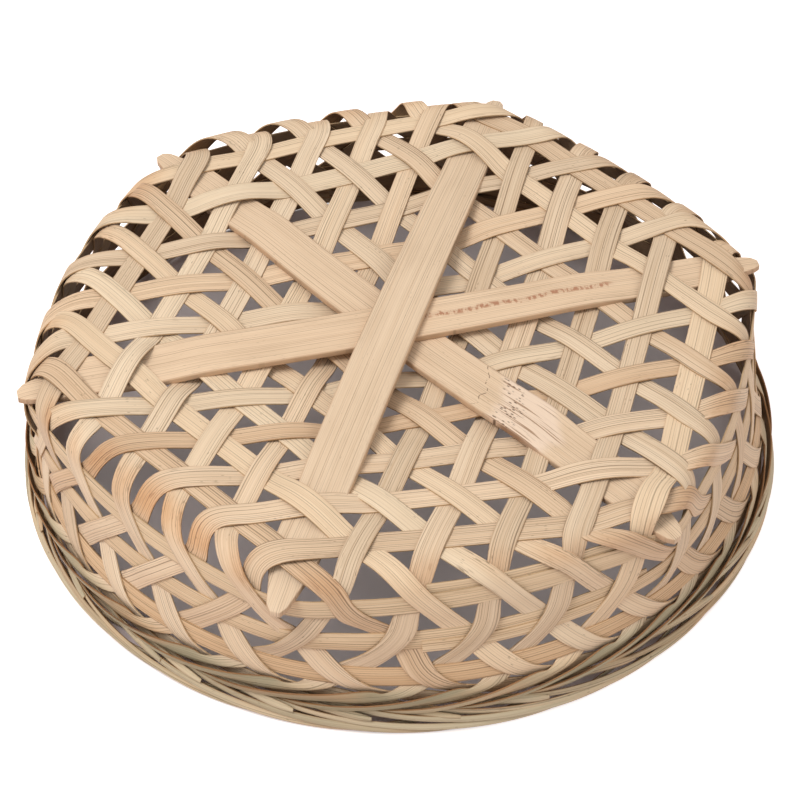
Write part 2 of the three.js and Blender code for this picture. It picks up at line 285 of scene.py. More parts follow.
ends = {
    "reach": 0.5,  # share of the way out that a strip keeps its heading
    "least": 6.5,  # and the least way out to take it of
    "lift": (2.2, 2.5, 5.0, 5.0, 5.5, 3.5),  # how much a strip arches as it leaves the base, side by side
    "cornerHump": 1.5,  # and how much more next to a slat end, where its neighbour climbs
    "underHump": 0.3,  # share of that for a strip that passes under at the shoulder
    "further": 1.6,  # it turns down that much later there
    "raised": 0.9,
    "above": 3.6,  # it comes down straight for so long above the shoulder hoop
    "push": (1.0, 1.0, 2.5, 4.0, 3.0, 2.5),  # and how far it stands out before it turns down
    "scorchAndShade": (0.7, 0.7, 0.5, 0.7, 0.7, 1.3),  # how brown a strip is where it bends, from scorch and from painted shade in the fold
    "scorchAndShadeShape": (1.8, 1.3),  # how wide that is, and how far down the bend
    "archSide": 3,  # on the far side every second strip stands up in a loop
    "arch": 4.5,
    "steps": 6,
    "early": 1.5,  # how soon over the fold a strip has changed its layer
    # how far the strips follow the hand, hoop by hoop: first those that run clockwise
    "give": ((0.35, 1.25, 0.85), (1.0, 1.45, 0.85)),
    "stiffer": (1, 2, 3),  # strips of the front side that follow it less at the middle hoop
    "stiffGive": 0.8,
    "swapWidth": 8.4,
    "swapBelow": 2.4,  # where the layers swap under the mouth hoop, and how far on
    "swapOn": 0.46,
    "bandOn": 0.2,  # a band of the border starts so far on after the last ring
    "bandIn": 0.6,
    "skins": {"outer": (0.6, 1, 1), "inner": (0.1, 0.1, 0.75)},  # at the swap, at first and later on
    "settled": 0.8,  # crossings until a band has its full share of the hand's shake
    "shakeLow": 6.0,  # below this height the shake fades
    "outer": (
        (0.0, 19.9, 1.5, 6.4, 0.6, 0.3),
        (0.5, 17.4, 2.1, 6.2, -0.9, 0.4),
        (1.0, 14.9, 2.4, 5.8, -1.3, 0.5),
        (1.5, 12.5, 2.2, 5.2, -1.1, 0.5),
        (1.9, 10.8, 0.9, 4.0, -0.6, 0.3),
        (2.3, 9.4, -0.8, 2.4, 0, 0.2),
    ),
    "inner": (
        (0.0, 18.2, -1.3, 7.4, 0, 0.2),
        (0.65, 14.4, -1.3, 6.0, 0, 0.2),
        (1.2, 11.4, -0.4, 4.6, 0, 0.4),
        (1.8, 8.7, 1.2, 4.0, -0.5, 1.0),
        (2.4, 6.5, 2.0, 3.9, -0.5, 1.5),
        (3.1, 4.6, 2.5, 3.8, -0.3, 1.7),
        (3.8, 3.0, 2.3, 3.6, 0, 1.7),
        (4.5, 2.2, 1.5, 3.3, 0, 1.3),
        (5.0, 2.6, -0.4, 3.0, 0, 0.6),
        (5.5, 6.2, -1.4, 3.2, 0, 0.3),
        (6.1, 10.0, -0.9, 3.4, 0.2, 0.3),
        (6.5, 10.4, 1.3, 3.4, 0.7, 0.6),
        (6.8, 9.2, 2.6, 2.9, 0.9, 0.8),
        (6.93, 8.6, 3.0, 1.3, 0.8, 0.5),
    ),
    "shake": (0.07, 0.5, 0.3, 0.12),  # how much of that is left to the hand, for the first four
}


def borderBand(start, turnDrift, lies):
    topRadius = mix(shoulderRadius, mouthRadius, wall["side"][3])
    stray, higher, pushed, fuller = [dice.uniform(-1, 1) * most for most in ends["shake"]]
    stations = []
    for gone, height, outBy, width, tilt, crown in ends[lies]:
        settled = min(1, gone / ends["settled"])
        turn = start + turnDrift * gone * (1 + stray * settled)
        height += higher * settled * min(1, height / ends["shakeLow"])
        outBy += pushed * settled
        width *= 1 + fuller * settled
        angle = -math.pi / 2 - sixth / 2 + swayed(turn) / around * 2 * math.pi
        radius = mix(mouthRadius, topRadius, height / wall["heights"][3])
        radius *= 1 - wall["oval"] * math.cos(angle) ** 2
        out = Vector((math.cos(angle), math.sin(angle), 0))
        slope = tilt * 2 / width
        edge = (up - out * slope).normalized() * (width / 2 * turnDrift)
        middle = out * (radius + outBy - ends["bandIn"]) + up * height
        skin = ends["skins"][lies][1 if gone < 1 else 2]
        stations.append(station(middle, edge, (out + up * slope).normalized(), skin=skin, crown=crown))
    return stations


def stripEnd(i, j, direction, outward, heading):
    side = [s for s in sidesAt(i, j)
            if round(2 * outward * direction.dot(sideNormal(s))) > 0 and drift(direction, s)][0]
    turnDrift = drift(direction, side)
    point, normal, overSlat = baseCrossing(i, j)
    out, along = sideNormal(side), sideAlong(side)
    corner = out * baseReach - along * (rings * weave["spacing"] / 2)
    startTurn = side * rings + (evenCrossing(i, j) - corner).dot(along) / weave["spacing"]

    def turnAt(ring):
        return startTurn + turnDrift * (ring - rings) / 2

    def giveAt(ring):
        if ring == rings + 2 and turnDrift > 0 and round(startTurn) in ends["stiffer"]:
            return ends["stiffGive"]
        return ends["give"][turnDrift > 0][ring - rings - 1]

    def layer(ring):
        return (1 if (turnDrift > 0) == (ring % 2 == 0) else -1) * layerPitch

    besideCorner = round(startTurn - side * rings) in (1, rings - 1)
    startOffset = layerAt(direction, i, j) * layerPitch
    stepped = besideCorner or (overSlat and startOffset > 0)
    flatOut = (weave["strip"] / 2 + weave["gap"]) / math.cos(sixth / 2) + stepped * ends["further"]
    way = (heading - normal * heading.dot(normal)).normalized()
    leave = point + way * flatOut + normal * (stepped * ends["raised"])
    stations = [skewed(leave, way, normal, along, weave["strip"], startOffset)]

    halfHoop = wall["hoop"] / 2 + weave["gap"]

    def reachHoop(hoopWay, run):
        return halfHoop / math.sqrt(1 - run.dot(hoopWay) ** 2)

    share = (wall["hoop"] / 2 + ends["swapBelow"]) / (wall["heights"][2] - wall["heights"][3])
    down = [wallCrossing(turnAt(ring), ring, giveAt(ring)) for ring in range(rings + 1, rings + 4)]
    down.append(wallCrossing(turnAt(rings + 3) + turnDrift * share * ends["swapOn"], rings + 3 + share))
    for n, (on, face, hoopWay) in enumerate(down):
        run = down[min(n + 1, 3)][0] - down[max(n - 1, 0)][0]
        down[n] = on, face, hoopWay, (run - face * run.dot(face)).normalized()

    # over the fold
    shoulder, face, hoopWay, drop = down[0]
    reach = reachHoop(hoopWay, drop)
    if overSlat:
        reach, drop = halfHoop, face.cross(hoopWay).normalized()
    if drop.z > 0:
        drop = -drop
    land = shoulder - drop * reach
    arch = ends["arch"] if side == ends["archSide"] and turnDrift > 0 else 0
    outBy = max((land - leave).dot(out), ends["least"]) * ends["reach"]
    pullOut = leave + heading * (outBy / heading.dot(out))
    pullOut += up * (arch + (0 if overSlat else ends["lift"][side]))
    pullOut += up * (besideCorner * ends["cornerHump"] * (1 if layer(rings + 1) > 0 else ends["underHump"]))
    pullDown = land - drop * ((ends["above"] + arch / 2) / -drop.z) + out * ends["push"][side]
    strength, late = ends["scorchAndShadeShape"]
    for step in range(1, ends["steps"]):
        t = step / ends["steps"]
        less = 1 - t
        on = leave * less ** 3 + pullOut * (3 * t * less ** 2) + pullDown * (3 * t * t * less) + land * t ** 3
        run = (pullOut - leave) * less ** 2 + (pullDown - pullOut) * (2 * t * less)
        run = (run + (land - pullDown) * t * t).normalized()
        line = along.lerp(hoopWay, t).normalized()
        outside = run.cross(line).normalized()
        if outside.dot(face) + outside.z < 0:
            outside.negate()
        swapped = min(1, t * ends["early"])
        offset = mix(startOffset, layer(rings + 1), swapped * swapped * (3 - 2 * swapped))
        # scorch over the fold, darkened further as painted shade
        scorchAndShade = ends["scorchAndShade"][side] * min(1, strength * math.sin(math.pi * t ** late) ** 2)
        width = mix(weave["strip"], weave["wallStrip"], t)
        stations.append(skewed(on, run, outside, line, width, offset, bend=scorchAndShade))
    stations.append(skewed(land, drop, face, hoopWay, weave["wallStrip"], layer(rings + 1)))

    # down the wall and into the border
    for ring, (point, face, hoopWay, run) in zip(range(rings + 1, rings + 4), down):
        for way in ((1,) if ring == rings + 1 else (-1, 1)):
            on = point + run * (way * reachHoop(hoopWay, run))
            stations.append(skewed(on, run, face, hoopWay, weave["wallStrip"], layer(ring)))
    point, face, hoopWay, run = down[3]
    lies = "outer" if turnDrift < 0 else "inner"
    stations.append(skewed(point, run, face, hoopWay, ends["swapWidth"], -turnDrift * layerPitch,
                           skin=ends["skins"][lies][0]))
    return stations + borderBand(turnAt(rings + 4) + turnDrift * ends["bandOn"], turnDrift, lies)


def stripRoute(family, row):
    direction = directions[family]
    crossings = [{"level": (a, row), "rising": (row, a), "falling": (row - a, a)}[family]
                 for a in range(-rings, rings + 1)]
    crossings = [c for c in crossings if ringOf(*c) <= rings]
    flatHalf = hexCross * weave["strip"] / 2
    underSlat = weave["slat"] / 2 / math.sin(sixth) + weave["strip"] / 2 / math.tan(sixth) + weave["gap"]
    room = weave["spacing"] - weave["strip"] * weave["stepRoom"]
    halves = [flatHalf if len(sidesAt(i, j)) < 2 else underSlat if ringOf(i, j) < rings - 1
              else strips["overSlat"] for i, j in crossings]
    laid = [laidByHand(i, j) for i, j in crossings]
    ways = [(b - a).normalized() for a, b in zip(laid[:1] + laid[:-1], laid[1:] + laid[-1:])]
    middle = []
    for n, (i, j) in enumerate(crossings):
        point, normal = baseCrossing(i, j)[:2]
        way = (ways[n] - normal * ways[n].dot(normal)).normalized()
        half = normal.cross(way).normalized() * (weave["strip"] / 2)
        offset = layerAt(direction, i, j) * layerPitch
        for to in (-1, 1):
            if not 0 <= n + to < len(crossings):
                continue
            reach, theirs = halves[n], halves[n + to]
            if reach + theirs > room and reach == theirs:
                reach = room / 2
            elif reach > theirs:
                reach = max(flatHalf, min(reach, room - theirs))
            middle.append(station(point + way * (to * reach) + normal * offset, half, normal))
    head = stripEnd(*crossings[0], direction, -1, -ways[0])[::-1]
    for mark in head:
        mark["half"] = -mark["half"]
    return head + middle + stripEnd(*crossings[-1], direction, 1, ways[-1])


# Smooth line through the stations, with a little of the hand in it

flow = {
    "looseFrom": 62,  # from this height on, over so many millimetres, bends are rounded more
    "looseOver": 8,
    "looser": 1.5,
    "waverPitch": 45,
    "wanderPitch": 60,
    "skinHolds": 4,  # the shaved bands of the border neither waver nor wander
}


def through(knots, values, at):
    values = np.asarray(values, float)
    steps = np.diff(knots)[:, None]
    slopes = np.diff(values, axis=0) / steps
    tangents = np.empty_like(values)
    tangents[0], tangents[-1] = slopes[0], slopes[-1]
    tangents[1:-1] = (slopes[1:] * steps[:-1] + slopes[:-1] * steps[1:]) / (steps[1:] + steps[:-1])
    n = np.clip(np.searchsorted(knots, at, side="right") - 1, 0, len(steps) - 1)
    h = steps[n]
    t = (at - knots[n])[:, None] / h
    return ((1 + 2 * t) * (1 - t) ** 2 * values[n] + t * (1 - t) ** 2 * h * tangents[n]
            + t * t * (3 - 2 * t) * values[n + 1] + t * t * (t - 1) * h * tangents[n + 1])


def slowNoise(length, pitch, amount):
    knots = np.arange(0, length + 3 * pitch, pitch)
    marks = np.array([[dice.uniform(-amount, amount)] for _ in knots])
    return lambda at: through(knots, marks, np.asarray(at, float) + pitch)[:, 0]


def unit(vectors):
    return vectors / np.linalg.norm(vectors, axis=1)[:, None]


def relax(values, spread):
    reach = int(3 * spread) + 1
    bell = np.exp(-0.5 * (np.arange(-reach, reach + 1) / spread) ** 2)
    bell /= bell.sum()
    before = 2 * values[:1] - values[reach:0:-1]
    after = 2 * values[-1:] - values[-2:-reach - 2:-1]
    padded = np.concatenate([before, values, after])
    return np.stack([np.convolve(column, bell, "valid") for column in padded.T], axis=1)


def smoothLine(stations, pitch, widen=1.0, wander=0.0, waver=0.0, soften=0.0):
    points = np.array([s["point"] for s in stations], float)
    knots = np.concatenate([[0], np.cumsum(np.linalg.norm(np.diff(points, axis=0), axis=1))])
    at = np.linspace(0, knots[-1], max(4, int(knots[-1] / pitch)) + 1)
    line = {
        "point": through(knots, points, at),
        "half": through(knots, [s["half"] for s in stations], at),
        "normal": unit(through(knots, [s["normal"] for s in stations], at)),
        "run": at,
    }
    for name in ("skin", "bend", "crown"):
        line[name] = np.interp(at, knots, [s[name] for s in stations])
    if soften:
        step = knots[-1] / (len(at) - 1)
        height = relax(line["point"], flow["looser"] * soften / step)[:, 2]
        line["point"] = relax(line["point"], soften / step)
        loose = np.clip((line["point"][:, 2] - flow["looseFrom"]) / flow["looseOver"], 0, 1)
        line["point"][:, 2] = mix(line["point"][:, 2], height, loose)
        line["half"] = relax(line["half"], soften / step)
        line["bend"] = relax(line["bend"][:, None], soften / step)[:, 0]
        way = unit(np.gradient(line["point"], axis=0))
        normal = unit(np.cross(line["half"], way))
        line["normal"] = normal * np.sign((normal * line["normal"]).sum(1))[:, None]
    free = 1 - np.clip(line["skin"] * flow["skinHolds"], 0, 1)
    grow = 1 + ((widen - 1) + slowNoise(knots[-1], flow["waverPitch"], waver)(at)) * free
    line["half"] = line["half"] * grow[:, None]
    aside = slowNoise(knots[-1], flow["wanderPitch"], wander)(at) * free
    line["point"] = line["point"] + unit(line["half"]) * aside[:, None]
    return line


# Cane cut flat, then laid on its line

bodies = {
    "across": 4,  # faces across a strip or hoop
    "edge": 0.12,
    "edgeSteps": 2,
    "sharpFrom": math.radians(50),
    "smoothTo": math.radians(40),
}


def pick(piece):
    bpy.ops.object.select_all(action="DESELECT")
    piece.select_set(True)
    bpy.context.view_layer.objects.active = piece


def cornersOf(mesh):
    corner = np.empty(len(mesh.loops), int)
    mesh.loops.foreach_get("vertex_index", corner)
    return corner


def layCane(name, line, across):
    cuts = len(line["run"]) - 1
    bpy.ops.object.select_all(action="DESELECT")
    bpy.ops.mesh.primitive_grid_add(x_subdivisions=cuts, y_subdivisions=across, size=1)
    piece = bpy.context.object
    piece.name = name
    mesh = piece.data
    mesh.name = name
    flat = np.empty(len(mesh.vertices) * 3)
    mesh.vertices.foreach_get("co", flat)
    flat = flat.reshape(-1, 3)
    n = np.rint((flat[:, 0] + 0.5) * cuts).astype(int)
    v = np.rint((flat[:, 1] + 0.5) * across) / across * 2 - 1
    half = line["half"][n]
    way = unit(np.gradient(line["point"], axis=0))[n]
    raised = line["crown"][n] * (1 - v ** 2)
    placed = line["point"][n] + half * v[:, None] + line["normal"][n] * raised[:, None]
    mesh.vertices.foreach_set("co", (placed * mm).ravel())
    lean = (half * way).sum(1)
    wide = np.linalg.norm(half - way * lean[:, None], axis=1)
    lengthwise = line["run"][n] + lean * v
    corner = cornersOf(mesh)
    lie = np.stack([lengthwise * mm, wide * v * mm], axis=1)
    mesh.uv_layers[0].name = "lie"
    mesh.uv_layers[0].data.foreach_set("uv", lie[corner].ravel())
    facts = mesh.uv_layers.new(name="facts")
    facts.data.foreach_set("uv", np.stack([line["run"][n] * mm, v], axis=1)[corner].ravel())
    mesh.update()
    return piece


def normalsOut():
    bpy.ops.mesh.select_all(action="SELECT")
    bpy.ops.mesh.normals_make_consistent(inside=False)
    bpy.ops.object.mode_set(mode="OBJECT")


def softenEdges(piece, width, steps):
    soften = piece.modifiers.new("softEdge", "BEVEL")
    soften.width = width * mm
    soften.segments = steps
    soften.limit_method = "ANGLE"
    soften.angle_limit = bodies["sharpFrom"]
    pick(piece)
    for modifier in list(piece.modifiers):
        bpy.ops.object.modifier_apply(modifier=modifier.name)


def giveThickness(piece, thickness, materials):
    for material in materials:
        piece.data.materials.append(material)
    body = piece.modifiers.new("body", "SOLIDIFY")
    body.thickness = thickness * mm
    body.offset = 0
    body.material_offset = 1
    body.material_offset_rim = 2
    softenEdges(piece, bodies["edge"], bodies["edgeSteps"])
    bpy.ops.object.mode_set(mode="EDIT")
    normalsOut()
    bpy.ops.object.shade_smooth_by_angle(angle=bodies["smoothTo"])


def paintFacts(piece, line, tone, warmth):
    seed = dice.uniform(0, weave["seeds"])
    mesh = piece.data
    points = len(mesh.vertices)
    corner = cornersOf(mesh)
    facts = np.empty(len(corner) * 2)
    mesh.uv_layers["facts"].data.foreach_get("uv", facts)
    facts = facts.reshape(-1, 2)
    run, across = np.zeros(points), np.zeros(points)
    run[corner], across[corner] = facts[:, 0] / mm, np.abs(facts[:, 1])
    values = {
        "skin": np.interp(run, line["run"], line["skin"]),
        "bend": np.interp(run, line["run"], line["bend"]),
        "edge": across,
        "tone": np.full(points, tone),
        "warmth": np.full(points, warmth),
        "seed": np.full(points, seed),
    }
    for name, value in values.items():
        mesh.attributes.new(name, "FLOAT", "POINT").data.foreach_set("value", value.astype(np.float32))
    mesh.uv_layers.remove(mesh.uv_layers["facts"])
    mesh.uv_layers["lie"].active_render = True


# Materials

def linear(red, green, blue):
    shares = [c / 255 for c in (red, green, blue)]
    return tuple(c / 12.92 if c <= 0.04 else ((c + 0.055) / 1.055) ** 2.4 for c in shares) + (1,)


def add(tree, kind, **settings):
    made = tree.nodes.new("ShaderNode" + kind)
    for name, value in settings.items():
        setattr(made, name, value)
    return made


def join(tree, value, socket):
    if isinstance(value, (int, float, tuple)):
        socket.default_value = value
    else:
        tree.links.new(value, socket)


def maths(tree, operation, a, b=0.0, clamp=False):
    made = add(tree, "Math", operation=operation, use_clamp=clamp)
    join(tree, a, made.inputs[0])
    join(tree, b, made.inputs[1])
    return made.outputs[0]


def times(tree, *values):
    made = values[0]
    for value in values[1:]:
        made = maths(tree, "MULTIPLY", made, value)
    return made


def plus(tree, a, b):
    return maths(tree, "ADD", a, b)


def minus(tree, a, b):
    return maths(tree, "SUBTRACT", a, b)


def blend(tree, share, a, b, kind="MIX"):
    made = add(tree, "Mix", data_type="RGBA", blend_type=kind)
    join(tree, share, made.inputs[0])
    join(tree, a, made.inputs[6])
    join(tree, b, made.inputs[7])
    return made.outputs[2]


def ramp(tree, value, low, high):
    made = add(tree, "MapRange", interpolation_type="SMOOTHSTEP")
    join(tree, value, made.inputs["Value"])
    made.inputs["From Min"].default_value = low
    made.inputs["From Max"].default_value = high
    return made.outputs["Result"]


def band(tree, value, middle, half, soft):
    apart = maths(tree, "ABSOLUTE", minus(tree, value, middle))
    return minus(tree, 1.0, ramp(tree, apart, half, half + soft))


def stretched(tree, vector, lengthwise, crosswise, kind):
    spread = add(tree, "VectorMath", operation="MULTIPLY")
    join(tree, vector, spread.inputs[0])
    spread.inputs[1].default_value = (lengthwise, crosswise, 1)
    made = add(tree, kind)
    tree.links.new(spread.outputs[0], made.inputs["Vector"])
    made.inputs["Scale"].default_value = 1
    return made


def streaks(tree, vector, lengthwise, crosswise, detail, rough=0.55):
    made = stretched(tree, vector, lengthwise, crosswise, "TexNoise")
    made.inputs["Detail"].default_value = detail
    made.inputs["Roughness"].default_value = rough
    return made.outputs["Fac"]


def patches(tree, vector, lengthwise, crosswise, detail, low, high, rough=0.55):
    return ramp(tree, streaks(tree, vector, lengthwise, crosswise, detail, rough), low, high)


def dots(tree, vector, lengthwise, crosswise, low, high):
    cells = stretched(tree, vector, lengthwise, crosswise, "TexVoronoi")
    return minus(tree, 1.0, ramp(tree, cells.outputs["Distance"], low, high)), cells.outputs["Color"]


def lengthAndBreadth(tree, lie):
    parts = add(tree, "SeparateXYZ")
    tree.links.new(lie, parts.inputs[0])
    return parts.outputs[0], parts.outputs[1]


def makeGroup(name, inputs, outputs):
    group = bpy.data.node_groups.new(name, "ShaderNodeTree")
    for way, sockets in (("INPUT", inputs), ("OUTPUT", outputs)):
        for label, kind in sockets.items():
            group.interface.new_socket(label, in_out=way, socket_type="NodeSocket" + kind)
    return group, group.nodes.new("NodeGroupInput").outputs, group.nodes.new("NodeGroupOutput").inputs


# A noise is given by its grains to a metre along the cane and across it, its detail,
# where it starts and is full, and its roughness where that isn't the usual one

grainLook = {
    "lines": 2 * math.pi / 0.00108,  # turns of the line pattern to a metre across the cane
    "lineEdge": (0.3, 1.0),
    "sway": (2.5, 520, 1.0),
    "swayTurns": 11.0,
    "strength": (7, 900, 1.0, 0.36, 0.68),
    "lineStrong": 0.95,
    "lineWeak": 0.15,
    "lineDepth": 0.7,
    "lineShare": 0.95,
    "tissue": (14, 2600, 2.0),
    "tissueEdge": (0.35, 0.68),
    "tissueDepth": 0.5,
    "tissueShare": 0.45,
    "broad": (2, 260, 1.0, 0.4, 0.7),
    "broadShare": 0.2,
    "blotch": (20, 90, 3.0, 0.4, 0.72, 0.6),
    "blotchShare": 0.14,
    "blotchTint": (0.42, 0.34, 0.24, 1),
}


def makeGrainGroup():
    tree, given, out = makeGroup(
        "caneGrain",
        {"Lie": "Vector", "Pale": "Color", "Deep": "Color", "Line": "Color", "Contrast": "Float"},
        {"Color": "Color", "Fibre": "Float"})
    look, lie, contrast = grainLook, given["Lie"], given["Contrast"]
    sway = times(tree, streaks(tree, lie, *look["sway"]), look["swayTurns"])
    phase = plus(tree, times(tree, lengthAndBreadth(tree, lie)[1], look["lines"]), sway)
    line = ramp(tree, maths(tree, "SINE", phase), *look["lineEdge"])
    strength = times(tree, patches(tree, lie, *look["strength"]), look["lineStrong"])
    lines = times(tree, line, plus(tree, strength, look["lineWeak"]))
    tissue = streaks(tree, lie, *look["tissue"])
    rising = plus(tree, times(tree, tissue, look["tissueDepth"]), 1 - look["tissueDepth"])
    broad = times(tree, patches(tree, lie, *look["broad"]), look["broadShare"])
    soft = plus(tree, times(tree, ramp(tree, tissue, *look["tissueEdge"]), look["tissueShare"]), broad)
    color = blend(tree, times(tree, soft, contrast), given["Pale"], given["Deep"])
    color = blend(tree, times(tree, lines, contrast, look["lineShare"]), color, given["Line"])
    blotch = times(tree, patches(tree, lie, *look["blotch"]), look["blotchShare"])
    tree.links.new(blend(tree, blotch, color, look["blotchTint"], "MULTIPLY"), out["Color"])
    tree.links.new(minus(tree, rising, times(tree, lines, look["lineDepth"])), out["Fibre"])
    return tree


paintedFacts = ("Edge", "Bend", "Skin", "Tone", "Warmth")

# Each stain and each painted shade is given by its share where it is full, and its tint

wearAndShadeLook = {
    # a piece's own tone and warmth, each both ways
    "tones": (
        ("Tone", 1, 0.42, (0.62, 0.55, 0.47, 1), "MULTIPLY"),
        ("Tone", -1, 0.35, (0.86, 0.72, 0.5, 1), "MIX"),
        ("Warmth", 1, 0.5, (1.0, 0.82, 0.66, 1), "MULTIPLY"),
        ("Warmth", -1, 0.5, (0.87, 0.86, 0.82, 1), "MULTIPLY"),
    ),
    "toastAndShade": (16, 60, 1.0, 0.3, 0.62),  # brown where the cane was bent over heat, with painted shade of the fold in it
    "toastAndShadeTint": (0.7, (0.8, 0.54, 0.33, 1)),
    "mottle": (140, 900, 2.0, 0.55, 0.7, 0.6),
    "mottleStainAndShade": (0.5, (0.4, 0.24, 0.13, 1)),
    "rimEdge": (0.9, 1.0),  # worn edges with painted contact shade along them, more so on the skin
    "rimShare": 0.42,
    "rimOnSkin": 0.5,
    "rimTint": (0.5, 0.34, 0.22, 1),
    # painted shade towards the edges of the skin bands
    "shadeEdge": (0.6, 1.0),
    "shadeTint": (0.4, (0.6, 0.42, 0.26, 1)),
    "dash": (170, 1500, 1.0, 0.6, 0.68),  # short dark dashes along the edges
    "dashEdge": (0.3, 0.75),
    "dashPatch": (22, 40, 1.0, 0.5, 0.6),
    "dashOnBend": 0.6,
    "dashElsewhere": 0.3,
    "dashTint": (0.17, 0.1, 0.05, 1),
    "dot": (330, 1500, 0.1, 0.34),  # and single dots
    "dotPatch": (30, 90, 2.0, 0.52, 0.62),
    "dotsLeftOut": 0.86,
    "dotStain": (0.7, (0.14, 0.085, 0.045, 1), "MIX"),
}


# Wear, scorch and specks of the cane, and painted shade at its edges and in its folds
def makeWearAndShadeGroup():
    plain = dict.fromkeys((*paintedFacts, "Specks"), "Float")
    tree, given, out = makeGroup("caneWearAndShade", {"Color": "Color", "Lie": "Vector", **plain}, {"Color": "Color"})
    look, lie, edge, skin, color = wearAndShadeLook, given["Lie"], given["Edge"], given["Skin"], given["Color"]

    def stainedAndShaded(where, share, tint, kind="MULTIPLY"):
        return blend(tree, times(tree, where, share), color, tint, kind)

    for socket, way, *stain in look["tones"]:
        color = stainedAndShaded(maths(tree, "MAXIMUM", times(tree, given[socket], way), 0.0), *stain)
    # scorch and painted shade of the fold, with mottled patches in it
    toastAndShade = times(tree, patches(tree, lie, *look["toastAndShade"]), given["Bend"])
    color = stainedAndShaded(toastAndShade, *look["toastAndShadeTint"])
    color = stainedAndShaded(times(tree, patches(tree, lie, *look["mottle"]), toastAndShade), *look["mottleStainAndShade"])
    # edges darkened by wear and by painted shade where pieces meet
    wornAndShaded = plus(tree, times(tree, skin, look["rimOnSkin"]), look["rimShare"])
    color = stainedAndShaded(ramp(tree, edge, *look["rimEdge"]), wornAndShaded, look["rimTint"])
    # painted shade towards the edges of the skin
    color = stainedAndShaded(times(tree, ramp(tree, edge, *look["shadeEdge"]), skin), *look["shadeTint"])
    dash = times(tree, patches(tree, lie, *look["dash"]), ramp(tree, edge, *look["dashEdge"]),
                 patches(tree, lie, *look["dashPatch"]))
    onBend = times(tree, given["Bend"], look["dashOnBend"])
    often = maths(tree, "ADD", onBend, look["dashElsewhere"], clamp=True)
    color = stainedAndShaded(times(tree, dash, often), given["Specks"], look["dashTint"], "MIX")
    dot, chance = dots(tree, lie, *look["dot"])
    picked = add(tree, "SeparateColor")
    tree.links.new(chance, picked.inputs[0])
    few = maths(tree, "GREATER_THAN", picked.outputs[0], look["dotsLeftOut"])
    specks = times(tree, dot, few, patches(tree, lie, *look["dotPatch"]), given["Specks"])
    color = stainedAndShaded(specks, *look["dotStain"])
    tree.links.new(color, out["Color"])
    return tree


grainGroup = makeGrainGroup()
wearAndShadeGroup = makeWearAndShadeGroup()


def place(tree, group, **values):
    made = tree.nodes.new("ShaderNodeGroup")
    made.node_tree = group
    for name, value in values.items():
        join(tree, value, made.inputs[name])
    return made.outputs


def newMaterial(name):
    material = bpy.data.materials.new(name)
    material.use_nodes = True
    tree = material.node_tree
    return material, tree, tree.nodes["Principled BSDF"]


canes = {
    # pale and deep tone, contrast of the grain, how many specks, roughness and depth of the relief
    "strip": ((234, 210, 181), (203, 167, 130), 0.8, 1.0, 0.46, 0.5),
    # faces on the inside of the basket: a browner cane, darkened further as painted shade of the basket's
    # inside
    "inner": ((150, 117, 82), (104, 74, 48), 0.6, 0.4, 0.3, 0.25),
    "cut": ((216, 190, 152), (186, 152, 112), 0.7, 0.6, 0.5, 0.3),
    "hoop": ((229, 202, 167), (196, 158, 117), 0.8, 0.8, 0.46, 0.5),
    "slat": ((230, 204, 174), (204, 168, 132), 0.55, 0.5, 0.46, 0.3),
    "skinPale": ((182, 172, 142), (214, 184, 146)),  # green, and where it has turned brown
    "skinDeep": ((140, 127, 98), (150, 108, 70)),
    "skinTurned": (14, 50, 2.0, 0.46, 0.66),
    "skinContrast": 0.6,
    "lineShare": 0.68,  # how much darker than the deep tone the fibre lines are
    "fibreRough": 0.25,
    "reliefDepth": 0.0004,
    "specular": 0.35,
}


def painted(tree, name):
    return add(tree, "Attribute", attribute_name=name).outputs["Fac"]


def caneFacts(tree):
    lie = add(tree, "UVMap", uv_map="lie")
    whole = add(tree, "CombineXYZ")
    for socket, value in zip(whole.inputs, (*lengthAndBreadth(tree, lie.outputs[0]), painted(tree, "seed"))):
        tree.links.new(value, socket)
    return {"Lie": whole.outputs[0], **{name: painted(tree, name.lower()) for name in paintedFacts}}


def lineTone(deep):
    return linear(*[c * canes["lineShare"] for c in deep])


def skinOver(tree, facts, color):
    turned = patches(tree, facts["Lie"], *canes["skinTurned"])
    pale, deep = [blend(tree, turned, linear(*green), linear(*brown))
                  for green, brown in (canes["skinPale"], canes["skinDeep"])]
    skin = place(tree, grainGroup, Lie=facts["Lie"], Pale=pale, Deep=deep,
                 Line=lineTone(canes["skinDeep"][0]), Contrast=canes["skinContrast"])
    return blend(tree, facts["Skin"], color, skin["Color"])


def makeCane(name, kind, skinShows=False, marks=None):
    material, tree, shader = newMaterial(name)
    pale, deep, contrast, specks, rough, relief = canes[kind]
    facts = caneFacts(tree)
    grain = place(tree, grainGroup, Lie=facts["Lie"], Pale=linear(*pale), Deep=linear(*deep),
                  Line=lineTone(deep), Contrast=contrast)
    color, height = grain["Color"], grain["Fibre"]
    if skinShows:
        color = skinOver(tree, facts, color)
    if marks:
        color, height = marks(tree, facts["Lie"], color, height)
    # the cane's wear, scorch and specks, with painted shade along the edges and in the folds
    wornAndShaded = place(tree, wearAndShadeGroup, Color=color, Specks=specks, **facts)
    join(tree, wornAndShaded["Color"], shader.inputs["Base Color"])
    rough = plus(tree, times(tree, grain["Fibre"], canes["fibreRough"]), rough)
    join(tree, rough, shader.inputs["Roughness"])
    raised = add(tree, "Bump")
    raised.inputs["Strength"].default_value = relief
    raised.inputs["Distance"].default_value = canes["reliefDepth"]
    join(tree, height, raised.inputs["Height"])
    join(tree, raised.outputs[0], shader.inputs["Normal"])
    shader.inputs["Specular IOR Level"].default_value = canes["specular"]
    return material


# The node on the lower slat, with the scraped cane before it, and the row of scars on
# the middle one. A band is given by its middle, half its width and its soft edge, in
# metres from the slat's near end or from its middle line

